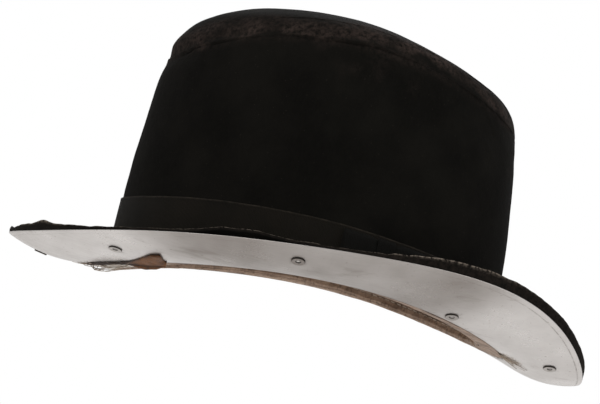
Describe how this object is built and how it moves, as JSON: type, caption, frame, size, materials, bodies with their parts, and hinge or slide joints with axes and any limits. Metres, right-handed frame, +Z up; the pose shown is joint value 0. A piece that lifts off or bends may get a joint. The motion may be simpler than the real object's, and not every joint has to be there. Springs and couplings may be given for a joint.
{
  "type": "top hat",
  "caption": "Black felt top hat with a domed crown, a ribbon band with a flat bow, and a polished metal plate riveted under the curled brim.",
  "frame": {"origin": "middle of the brim's outline, at the level of the lowest points of the plate, on which the hat stands", "axes": "+X to the back of the hat, -Y to the wearer's left, +Z up along the crown"},
  "size_m": [0.32, 0.25, 0.1641],
  "materials": {
    "black_felt": "matt brushed fur felt, worn brown at the edges",
    "stiffener": "shellac-stiffened cloth",
    "plate_metal": "satin, hand rubbed, scratched",
    "rivet_metal": "satin, darkened in the recess",
    "ribbon": "ribbed grosgrain, slight sheen",
    "tan_leather": "worn, creased, ragged lower edge",
    "brown_leather": "worn, curled",
    "lining": "plain satin lining"
  },
  "bodies": {
    "root": {"brim_felt": "black_felt", "crown_side_felt": "black_felt", "crown_tip_felt": "black_felt", "brim_board": "stiffener", "crown_side_shell": "stiffener", "crown_tip_shell": "stiffener", "brim_plate": "plate_metal", "brim_rivets": "rivet_metal", "rivet_washers": "rivet_metal", "hat_band": "ribbon", "bow_backing": "ribbon", "bow_front_loop": "ribbon", "bow_back_loop": "ribbon", "bow_knot": "ribbon", "sweatband": "tan_leather", "sweatband_flap": "tan_leather", "sweatband_reed": "tan_leather", "sweatband_back_tape": "tan_leather", "leather_tab": "brown_leather", "lining_side": "lining", "lining_tip": "lining"}
  },
  "joints": []
}
